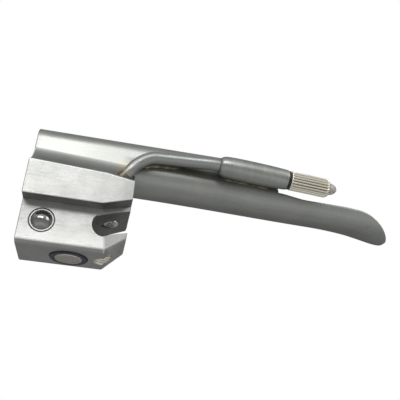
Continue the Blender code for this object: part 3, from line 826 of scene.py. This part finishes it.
def block_section(bottom, ledge, half_tongue, half_shelf, shelf_z):
    """T-shaped section of the block. The bottom and the ledge are (x, z) pairs."""
    x_low, z_low = bottom
    x_top, z_top = ledge
    edge = []
    for t in evenly(0, 1, 6):
        edge.append((half_tongue - BOTTOM_EDGE_WIDTH * t, z_low + BOTTOM_EDGE_RISE * (1 - t) ** 2))
    points = [(x_low, y, z) for y, z in edge]
    points += [(x_low, -y, z) for y, z in reversed(edge)]
    upper = [(-half_tongue, z_top), (-half_shelf, z_top), (-half_shelf, shelf_z)]
    upper += shoulder_points(half_shelf, shelf_z, shelf_z + SHOULDER_RISE)
    upper += [(FAR_EDGE_Y + 0.3, shelf_z + 1), (half_shelf, shelf_z)]
    upper += [(half_shelf, z_top), (half_tongue, z_top)]
    points += [(x_top, y, z) for y, z in upper]
    return [Vector(point) for point in points]


def block_body():
    """The block's outer shape, with every convex sharp edge rounded a little. Slanting bevels get a
    lighter steel, partly rubbed wear and partly painted highlight.
    """
    wide = (TONGUE_HALF_WIDTH, SHELF_HALF_WIDTH)
    narrow = (TONGUE_FRONT_HALF_WIDTH, SHELF_FRONT_HALF_WIDTH)
    rear = (BLOCK_REAR_X, BLOCK_BOTTOM_Z), (BLOCK_REAR_X, LEDGE_Z)
    fold = (TAPER_BOTTOM_X, BLOCK_BOTTOM_Z), (TAPER_TOP_X, LEDGE_Z)
    front = (CHAMFER_TOP_X, CHAMFER_TOP_Z), (BLOCK_FRONT_X, LEDGE_FRONT_Z)
    sections = [
        block_section(*rear, *wide, SHELF_REAR_Z),
        block_section(*fold, *wide, SHELF_FOLD_Z),
        block_section(*front, *narrow, SHELF_FRONT_Z),
    ]
    bm = bmesh.new()
    add_skin(bm, sections)
    bmesh.ops.recalc_face_normals(bm, faces=bm.faces)
    for face in bm.faces:
        # The ledge's underside takes the darker milled steel, painted shade under the shelf.
        if face.normal.z < -0.9 and face.calc_center_median().z > LEDGE_Z - EDGE:
            face.material_index = MILLED_SHADED
        elif face.normal.z > 0 and face.calc_center_median().y < 0:
            face.material_index = SHEET_STEEL
    bmesh.ops.bevel(
        bm,
        geom=[edge for edge in bm.edges if edge.is_convex and edge.calc_face_angle() > EDGE_ANGLE],
        offset=EDGE,
        segments=3,
        profile=0.5,
        affect="EDGES",
        clamp_overlap=True,
        material=RUBBED_EDGE_HIGHLIGHT,
    )
    # Bevels that face straight out or down, and those at the ledge, lose the painted highlight.
    for face in bm.faces:
        if face.material_index == RUBBED_EDGE_HIGHLIGHT:
            if abs(face.normal.y) < 0.15 and face.calc_center_median().z > LEDGE_Z - EDGE:
                face.material_index = MILLED_SHADED
            elif min(abs(face.normal.y), abs(face.normal.z)) < 0.15:
                face.material_index = GROUND
    return object_from(bm, "base_block_body")


def tongue_side(x, z):
    """Half width of the tongue at a place on its side."""
    height = (z - BLOCK_BOTTOM_Z) / (LEDGE_Z - BLOCK_BOTTOM_Z)
    fold = mix(TAPER_BOTTOM_X, TAPER_TOP_X, height)
    past = min(max((x - fold) / (BLOCK_FRONT_X - fold), 0), 1)
    return mix(TONGUE_HALF_WIDTH, TONGUE_FRONT_HALF_WIDTH, past)


def slot_outline(gap):
    """(x, z) outline of the hook slot, whose closed end is a shallow arc."""
    along = Vector((cos(SLOT_TILT), sin(SLOT_TILT)))
    across = Vector((-along.y, along.x))
    centre = Vector((SLOT_END_X, SLOT_END_Z))
    radius = SLOT_END_RADIUS + gap - SLOT_HALF_GAP
    half_turn = asin(gap / radius)
    end = centre + (radius - gap) * along
    turns = evenly(pi - half_turn, pi + half_turn, 24)
    outline = [end + radius * (cos(t) * along + sin(t) * across) for t in turns]
    reach = 9
    outline.append(centre + reach * along - gap * across)
    outline.append(centre + reach * along + gap * across)
    return outline


def hook_slot():
    """Slot with eased edges, opening past the block's front."""
    outside = TONGUE_HALF_WIDTH + 1
    mouth = [(None, 0.3), (0.18, 0.3), (-0.12, 0)]
    steps = [(-1, *step) for step in mouth] + [(1, *step) for step in reversed(mouth)]
    rings = []
    for side, proud, wider in steps:
        ring = []
        for p in slot_outline(SLOT_HALF_GAP + wider):
            y = outside if proud is None else tongue_side(p.x, p.y) + proud
            ring.append(Vector((p.x, side * y, p.y)))
        rings.append(ring)
    return skin_object("hook_slot", rings)


def ball_bore():
    """Bore through the tongue whose mouths are staked in over the balls."""
    lip = [(-1, 2.03), (0, 2.03), (0.12, 1.99), (0.4, 2.17), (0.7, 2.27), (1, 2.31)]
    half = [(-TONGUE_HALF_WIDTH + depth, radius) for depth, radius in lip]
    profile = half + [(-distance, radius) for distance, radius in reversed(half)]
    return turned("ball_bore", BALL_PLACE, ACROSS, profile, 72)


def stake_groove(side):
    """Ring that the staking punch leaves round the mouth of the ball's bore."""
    groove = [(-0.3, 2.24), (0, 2.24), (0.14, 2.33), (0.17, 2.39), (0.12, 2.45)]
    groove += [(0, 2.52), (-0.3, 2.52)]
    profile = [(-TONGUE_HALF_WIDTH + depth, radius) for depth, radius in groove]
    return turned("stake_groove", BALL_PLACE, ACROSS * side, profile, 72, hollow=True)


def contact_bore():
    shoulder = INSULATOR_FLANGE_TOP_Z + 0.03
    neck = INSULATOR_NECK_RADIUS + 0.03
    top = INSULATOR_TOP_Z + 0.7
    mouth = INSULATOR_RADIUS + 0.03
    profile = [
        (-1, mouth + 0.1), (BLOCK_BOTTOM_Z, mouth + 0.1), (BLOCK_BOTTOM_Z + 0.1, mouth),
        (shoulder, mouth), (shoulder, neck), (top, neck), (top, 1.5), (8, 1.5),
    ]
    return turned("contact_bore", ORIGIN, UP, profile, 96)


def screw_bore():
    head = SCREW_HEAD_RADIUS + 0.1
    shank = SCREW_SHANK_RADIUS + 0.06
    seat = SCREW_HEAD_Z + SCREW_HEAD_HEIGHT + 0.02
    profile = [(6.5, head), (seat, head), (seat, shank), (18, shank)]
    return turned("screw_bore", SCREW_PLACE, UP, profile, 64)


def access_hole():
    """Threaded hole through the lower jaw, under the screw. Its walls take the lighter bored steel,
    painted light in the hole.
    """
    radius = ACCESS_HOLE_RADIUS
    rim = BLOCK_BOTTOM_Z
    profile = [(-1, radius + 0.12), (rim, radius + 0.12)]
    for i in range(14):
        depth = 0.16 if i % 2 else 0
        profile.append((rim + 0.12 + 0.22 * i, radius - depth))
    profile.append((6, radius - 0.16))
    return turned("access_hole", Vector((ACCESS_HOLE_X, 0, 0)), UP, profile, 64)


def punch_mark():
    """Small conical mark in the chamfer, ahead of the access hole."""
    rise = Vector((CHAMFER_TOP_X - TAPER_BOTTOM_X, 0, CHAMFER_TOP_Z - BLOCK_BOTTOM_Z))
    inward = Vector((-rise.z, 0, rise.x)).normalized()
    profile = [(-0.5, 0.42), (0, 0.4), (0.5, 0.06)]
    return turned("punch_mark", PUNCH_MARK, inward, profile, 32)


def blade_recess():
    """The space that the blade's underside and channel take out of the block's top."""
    rings = []
    for x in (BLOCK_REAR_X - 1, 0, 12):
        outer = blade_loop(max(x, BLOCK_REAR_X), SHEET_POINTS, outward=0.01)[0]
        below = [p for p in outer if p.y < FLANGE_CENTRE_Z]
        open_y = FAR_EDGE_Y + 0.05
        top = 24
        loop = [(open_y, top), (open_y, below[0].y), *[tuple(p) for p in below[:-1]]]
        loop.append((WEB_Y - 0.01, top))
        rings.append([Vector((x, y, z)) for y, z in loop])
    return skin_object("blade_recess", rings)


def make_block():
    block = block_body()
    for finish in BLOCK_FINISHES:
        block.data.materials.append(MATERIALS[finish])
    path = tube_path()
    start = path[0] - (path[1] - path[0]) * 0.2
    cutters = {
        "blade": [blade_recess()],
        "bored_lit": [access_hole()],
        # Recesses take the darker milled steel, painted shade inside them.
        "milled_shaded": [
            stake_groove(1),
            stake_groove(-1),
            hook_slot(),
            ball_bore(),
            contact_bore(),
            screw_bore(),
            punch_mark(),
            skin_object("tube_bore", path_rings([start] + path, TUBE_RADIUS + 0.02, 32)),
            skin_object("lead_passage", path_rings(lead_path()[:2] + [path[1]], 0.8, 16)),
        ],
    }
    for finish, group in cutters.items():
        for cutter in group:
            cutter.data.materials.append(MATERIALS[finish])
    cut_all(block, [cutter for group in cutters.values() for cutter in group], 34)
    shading = block.modifiers.new("flat_faces", "WEIGHTED_NORMAL")
    shading.keep_sharp = True
    finish_piece(block, None, "machined_steel", "base_block")


# ---- tube, lead and brazing


def tube_path():
    """Middle line of the light tube, from inside the block to inside the socket."""
    route = [
        (5.2, -3.9, 12.95), (7.3, -5.5, 15.3), (9.3, -6.75, 17.75), (10.9, -6.95, 19.85),
        (13.4, -6.95, 21.55), (16.6, -6.95, 21.95), (22, -7.25, 22.05),
    ]
    points = [Vector(point) for point in route]
    points += [LAMP_ORIGIN - LAMP_AXIS * 1.2, LAMP_ORIGIN + LAMP_AXIS * 2.6]
    return smooth_path(points, 9)


def lead_path():
    """Middle line of the lead, from the contact's tag to the socket's contact."""
    tube = tube_path()
    start = Vector((0, 0, 6.95))
    return [start, start.lerp(tube[0], 0.12)] + tube + [LAMP_ORIGIN + LAMP_AXIS * 4.9]


def make_tube():
    tube = pipe("light_tube_drawn", tube_path(), TUBE_RADIUS, TUBE_BORE_RADIUS, 48)
    finish_piece(tube, "tube", "satin_steel", "light_tube")


def braze_section(middle_y, radius, height):
    """Outline of the alloy between the web and a round piece beside it, hollowed on both sides."""
    touch = radians(52)
    start = Vector((WEB_Y + 0.1, height))
    end = Vector((middle_y + radius * cos(touch), radius * sin(touch)))
    pull = Vector((WEB_Y - 0.2, min(height, end.y) * 0.72))
    ring = []
    for t in evenly(0, 1, 5)[:-1]:
        ring.append(start * (1 - t) ** 2 + pull * 2 * t * (1 - t) + end * t * t)
    ring.append((middle_y + 0.2 * radius, 0.7 * radius))
    return ring + [(y, -z) for y, z in reversed(ring)]


def braze_run(name, stations):
    """Alloy along the web. Each station is (x, centre y, centre z, radius, height)."""
    rings = []
    for x, y, z, radius, height in stations:
        outline = braze_section(y, radius, height)
        rings.append([Vector((x, p[0], p[1] + z)) for p in outline])
    return skin_object(name, rings)


def make_brazing():
    stations = []
    for x, y, z in tube_path():
        if 11.8 <= x <= 21:
            ends = min((x - 11.6) / 1.2, (21.4 - x) / 3, 1)
            wave = 0.06 * sin(3.1 * x) + 0.04 * sin(7.3 * x)
            stations.append((x, y, z, TUBE_RADIUS, (1.25 + wave) * ends + 0.25))
    tube_side = braze_run("braze_tube_to_web", stations)
    stations = []
    for s in evenly(0.9, 12.1, 24):
        p = LAMP_ORIGIN + LAMP_AXIS * s
        ends = min((s - 0.7) / 1, (12.4 - s) / 1.2, 1)
        wave = 0.07 * sin(2.7 * s) + 0.05 * sin(6.1 * s)
        stations.append((p.x, p.y, p.z, 2.25, (1.75 + wave) * ends + 0.2))
    socket_side = braze_run("braze_socket_to_web", stations)
    for item in (tube_side, socket_side, make_tube_collar()):
        finish_piece(item, "braze", "satin_steel")


def make_tube_collar():
    """Fillet of alloy where the tube comes out of the block's shoulder."""
    frames = path_frames(tube_path())
    out = next(i for i, (p, _, _) in enumerate(frames) if p.x > 7.9)
    rings = []
    for k, swell in enumerate((0.5, 0.32, 0.18, 0.08, 0.02)):
        centre, first, second = frames[out + k]
        ring = []
        for angle in full_turn(40):
            uneven = 1 + 0.12 * sin(3 * angle + 0.6) + 0.06 * sin(7 * angle)
            radius = TUBE_RADIUS + swell * uneven * 0.62
            ring.append(centre + radius * (cos(angle) * first + sin(angle) * second))
        rings.append(ring)
    return skin_object("braze_tube_collar", rings)


# ---- small pieces of the block


def make_balls():
    offset = TONGUE_HALF_WIDTH + BALL_PROUD - BALL_RADIUS
    turns = evenly(0.012 * pi, 0.988 * pi, 36)
    profile = [(-BALL_RADIUS * cos(t), BALL_RADIUS * sin(t)) for t in turns]
    for side, sign in (("lamp_side", -1), ("open_side", 1)):
        centre = Vector((BALL_X, sign * offset, BALL_Z))
        ball = turned("ball_" + side + "_polished", centre, ACROSS, profile, 72)
        finish_piece(ball, "ball", "ball_steel", "detent_ball_" + side, body="ball_" + side)
    half = offset - BALL_RADIUS - SPRING_WIRE_RADIUS - 0.05
    axes = (ACROSS, ALONG, UP)
    sizes = (half, SPRING_COIL_RADIUS, SPRING_TURNS, 28, SPRING_WIRE_RADIUS)
    spring = coil("detent_spring_coiled", BALL_PLACE, axes, *sizes)
    finish_piece(spring, "spring", "ball_steel", "detent_spring")


def make_contact():
    stem = CONTACT_STEM_RADIUS
    rim = CONTACT_RADIUS
    button = [
        (0, 0.2 * rim), (0, 0.55 * rim), (0, rim - 0.28), (0.05, rim - 0.1),
        (0.16, rim - 0.02), (0.3, rim), (CONTACT_THICKNESS, rim), (CONTACT_THICKNESS, stem),
        (6.55, stem), (6.6, stem - 0.05),
    ]
    item = turned("contact_button_worn", ORIGIN, UP, button, 96)
    finish_piece(item, "contact", "contact_metal", "contact_button")
    seat = CONTACT_THICKNESS + 0.05
    hole = rim + 0.06
    face = INSULATOR_FACE_Z
    flange, flange_top = INSULATOR_RADIUS, INSULATOR_FLANGE_TOP_Z
    neck, neck_top = INSULATOR_NECK_RADIUS, INSULATOR_TOP_Z
    insulator = [
        (face + 0.06, hole), (face, hole + 0.06), (face, flange - 0.1), (face + 0.1, flange),
        (flange_top, flange), (flange_top, neck), (neck_top, neck), (neck_top, stem + 0.06),
        (seat, stem + 0.06), (seat, hole),
    ]
    item = turned("contact_insulator_ring", ORIGIN, UP, insulator, 96, hollow=True)
    finish_piece(item, "insulator", "insulator", "contact_insulator")


def make_screw():
    """Screw with a dished head and a six-sided key recess. It holds the blade to the block."""
    top = SCREW_HEAD_Z + SCREW_HEAD_HEIGHT
    rim = SCREW_HEAD_RADIUS
    low = SCREW_HEAD_Z
    shank = SCREW_SHANK_RADIUS
    end = floor_z(SCREW_X) + SHEET
    profile = [
        (low + 0.2, 0.3 * rim), (low + 0.2, 0.5 * rim), (low + 0.08, 0.62 * rim),
        (low, 0.76 * rim), (low, 0.84 * rim), (low + 0.08, 0.93 * rim), (low + 0.25, rim),
        (top, rim), (top, shank), (end - 0.05, shank), (end + 0.01, shank - 0.08),
        (end + 0.03, 0.3),
    ]
    screw = turned("block_fixing_screw_socketed", SCREW_PLACE, UP, profile, 64)
    recess = [(low - 0.5, 0.45 * rim), (low + 0.6, 0.45 * rim), (low + 0.75, 0.1 * rim)]
    cut_all(screw, [turned("key_recess", SCREW_PLACE, UP, recess, 6)])
    finish_piece(screw, "screw", "satin_steel", "block_fixing_screw")


# ---- socket and lamp


def make_socket():
    mouth = 14.8
    outline = [(0, 1.38), (0, 1.5), (0.06, 1.62), (0.2, 1.76), (0.45, 1.93), (0.8, 2.08)]
    outline += [(1.3, 2.18), (2.2, 2.25), (3.6, 2.29), (5.4, 2.32), (7.6, 2.32), (9.6, 2.3)]
    outline += [(11.4, 2.27), (13, 2.21), (14.3, 2.15), (14.55, 2.13), (14.72, 2.08), (mouth, 1.98)]
    outline += [(mouth, 1.84), (14.65, 1.75)]
    s = 14.4
    while s > 8.9:
        outline += [(s, 1.86), (s - 0.25, 1.75)]
        s -= THREAD_PITCH
    outline += [(8.6, 1.74), (8.6, 1.62), (3.2, 1.62), (3.2, 1.38)]
    socket = on_lamp_axis("lamp_socket_barrel", outline, 96, 50)
    finish_piece(socket, "socket", "satin_steel", "lamp_socket")


def rows_of(kind, pairs):
    return [(distance, radius, kind) for distance, radius in pairs]


def shell_rows():
    """Rows of the lamp's shell, from its thread's foot round to its bore."""
    rows = rows_of("plain", [(9.4, 1.25), (9.4, 1.42), (9.5, 1.5)])
    s = 9.6
    while s < 14.9:
        rows += rows_of("thread", [(s, 1.66)])
        s += THREAD_PITCH / 6
    rows += rows_of("plain", [(15, 1.5), (15.38, 1.5), (15.4, 1.86), (15.47, 1.95)])
    rows += rows_of("ease", [(15.6, KNURL_RADIUS)])
    rows += rows_of("flute", [(s, KNURL_RADIUS) for s in (15.75, 19, 23.1, 23.35)])
    rows += rows_of("ease", [(23.6, 1.95)])
    rows += rows_of("plain", [(23.85, 1.79), (23.97, 1.66), (24, 1.58), (23.97, 1.46)])
    rows += rows_of("plain", [(23.85, 1.42), (18.6, 1.42), (18.6, 1.25)])
    return rows


def groove_share(kind, angle):
    """How far into a flute a place on the grip lies, from 0 on a crest to 1 in a full groove."""
    wave = 0.5 - 0.5 * cos(KNURL_FLUTES * angle)
    return wave**1.6 * {"flute": 1, "ease": 0.45}.get(kind, 0)


def thread_depth(kind, s, angle):
    """Depth of the shank's screw thread at a place on it."""
    if kind != "thread":
        return 0
    turn = (s / THREAD_PITCH - angle / (2 * pi)) % 1
    return THREAD_DEPTH * abs(2 * turn - 1) ** 1.2


def make_shell():
    """Lamp shell: threaded shank, fluted grip with a chamfered front, and a hole for the bulb."""
    first, second = frame_about(LAMP_AXIS)
    rings = []
    grooves = []
    for s, radius, kind in shell_rows():
        ring = []
        for angle in full_turn(KNURL_FLUTES * 10):
            groove = groove_share(kind, angle)
            r = radius - FLUTE_DEPTH * groove - thread_depth(kind, s, angle)
            outward = cos(angle) * first + sin(angle) * second
            ring.append(LAMP_ORIGIN + LAMP_AXIS * s + r * outward)
            grooves.append(groove)
        rings.append(ring)
    shell = skin_object("lamp_shell_fluted", rings, closed=True, sharp_angle=50)
    attribute = shell.data.attributes.new("groove", "FLOAT", "POINT")
    attribute.data.foreach_set("value", grooves)
    finish_piece(shell, "shell", "nickel_brass", "lamp_shell", body="lamp")


def dome(start, end, radius):
    """The (distance, radius) pairs of a half ellipse that closes at its end."""
    angles = evenly(0, pi / 2 - 0.06, 18)
    return [(mix(start, end, sin(angle)), radius * cos(angle)) for angle in angles]


def make_lamp_details():
    ring = [(15.1 + 0.2 * cos(turn), 1.86 + 0.14 * sin(turn)) for turn in full_turn(16)]
    seal = on_lamp_axis("lamp_seal_ring_moulded", ring, 80)
    finish_piece(seal, "rubber", "black_rubber", "lamp_seal_ring", body="lamp_carrier")
    glass = [(20.2, 1.04), (20.2, 1.3)] + dome(24, 25.9, 1.3)
    glass += dome(24, 25.66, 1.04)[::-1]
    bulb = on_lamp_axis("lamp_glass_bulb", glass, 64)
    finish_piece(bulb, "glass", "lamp_glass", "lamp_glass", body="lamp")
    side, up = frame_about(LAMP_AXIS)
    place = LAMP_ORIGIN + LAMP_AXIS * 24.4
    axes = (side, LAMP_AXIS, up)
    filament = coil("lamp_filament_coil", place, axes, 0.42, 0.12, 7, 14, 0.025, 6)
    finish_piece(filament, "tungsten", "tungsten", "lamp_filament", body="lamp")


def dress_cad_nodes():
    """Gives the small CAD pieces that keep their shape their own finishes."""
    pieces = {
        "cement": ["lamp_cement"],
        "contact": ["contact_tag", "lamp_centre_contact", "socket_contact"],
        "copper": ["lead_wire"],
        "glass": ["lamp_bead"],
        "insulator": ["lamp_base_insulator", "socket_insulator"],
        "sleeve": ["lead_insulation"],
        "tungsten": ["lamp_support_live", "lamp_support_return"],
    }
    for finish, nodes in pieces.items():
        for node in nodes:
            dress(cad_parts[node], finish)


# ---- studio


def towards(azimuth, elevation):
    """Direction from the object to a viewer. Azimuth 0 is in front, on the lamp side."""
    level = cos(elevation)
    return Vector((sin(azimuth) * level, -cos(azimuth) * level, sin(elevation)))


def make_camera():
    back = towards(CAMERA_AZIMUTH, CAMERA_ELEVATION)
    right = (-back).cross(UP).normalized()
    up = back.cross(right)
    side = cos(CAMERA_ROLL) * right + sin(CAMERA_ROLL) * up
    top = cos(CAMERA_ROLL) * up - sin(CAMERA_ROLL) * right
    data = bpy.data.cameras.new("camera")
    data.lens = CAMERA_LENS
    data.sensor_width = 36
    data.clip_start = 0.001
    data.clip_end = 20
    camera = new_object("camera", data)
    turn = Matrix((side, top, back)).transposed().to_4x4()
    camera.matrix_world = Matrix.Translation(CAMERA_PLACE) @ turn
    bpy.context.scene.camera = camera


def add_softbox(name, azimuth, elevation, distance, width, height, power):
    """A soft rectangular light that faces the object."""
    back = towards(radians(azimuth), radians(elevation))
    data = bpy.data.lights.new(name, "AREA")
    data.shape = "RECTANGLE"
    data.size = width
    data.size_y = height
    data.energy = power
    light = new_object(name, data)
    light.location = LIGHT_AIM + back * distance
    light.rotation_mode = "QUATERNION"
    light.rotation_quaternion = back.to_track_quat("Z", "Y")
    light.visible_camera = False


def ramp_of(graph, height, stops):
    """A grey ramp over a -1 to 1 value. The stops are (value, grey) pairs."""
    share = graph.add("MapRange", {"Value": height, "From Min": -1}).outputs[0]
    ramp = graph.add("ValToRGB", {0: share})
    ramp.color_ramp.interpolation = "EASE"
    elements = ramp.color_ramp.elements
    while len(elements) < len(stops):
        elements.new(0.5)
    for element, (value, grey) in zip(elements, stops):
        element.position = (value + 1) / 2
        element.color = (grey, grey, grey, 1)
    return ramp.outputs[0]


def studio_grey(graph):
    """The studio's grey by direction: one ramp in front, another behind, eased between."""
    generated = graph.add("TexCoord").outputs["Generated"]
    direction = graph.add("SeparateXYZ", {0: generated}).outputs
    inputs = {"Value": direction["Y"], "From Min": -0.5, "From Max": 0.5}
    share = graph.add("MapRange", inputs, interpolation_type="SMOOTHSTEP").outputs[0]
    front, rear = (ramp_of(graph, direction["Z"], stops) for stops in (STUDIO_FRONT, STUDIO_REAR))
    return graph.colours(share, front, rear)


def make_world():
    """White surroundings behind the object, and a plain studio gradient for its light."""
    world = bpy.data.worlds.new("studio")
    world.use_nodes = True
    world.node_tree.nodes.clear()
    graph = Graph(world.node_tree)
    gradient = graph.add("Background", {"Color": studio_grey(graph)}).outputs[0]
    white = graph.add("Background", {"Color": (1, 1, 1, 1)}).outputs[0]
    seen = graph.add("LightPath").outputs["Is Camera Ray"]
    both = graph.add("MixShader", {0: seen, 1: gradient, 2: white}).outputs[0]
    graph.add("OutputWorld", {"Surface": both})
    bpy.context.scene.world = world
    bpy.context.scene.view_settings.view_transform = "Standard"


def make_floor():
    """Plain pale floor, well under the object."""
    corners = []
    for x, y in ((-1, -1), (1, -1), (1, 1), (-1, 1)):
        corners.append((x * FLOOR_HALF_SIZE, y * FLOOR_HALF_SIZE, FLOOR_Z))
    mesh = bpy.data.meshes.new("floor")
    mesh.from_pydata(corners, [], [(0, 1, 2, 3)])
    floor = new_object("floor", mesh)
    n = Nodes("floor_paint")
    n.set(Base_Color=n.colours(n.noise(0.01), (0.86, 0.86, 0.85), (0.89, 0.89, 0.88)), Roughness=0.9)
    mesh.materials.append(n.material)
    floor.visible_glossy = False


def make_lights():
    add_softbox("key", -17, 27.5, 0.5, 0.42, 0.12, 0.9)
    add_softbox("side", 52, 27, 0.5, 0.22, 0.25, 0.4)
    add_softbox("rear", 160, 38, 0.6, 0.5, 0.25, 0.5)


# ---- build


MATERIALS = make_materials()


def main():
    make_blade()
    make_block()
    make_tube()
    make_brazing()
    make_balls()
    make_contact()
    make_screw()
    make_socket()
    make_shell()
    make_lamp_details()
    dress_cad_nodes()
    make_camera()
    make_world()
    make_floor()
    make_lights()


main()
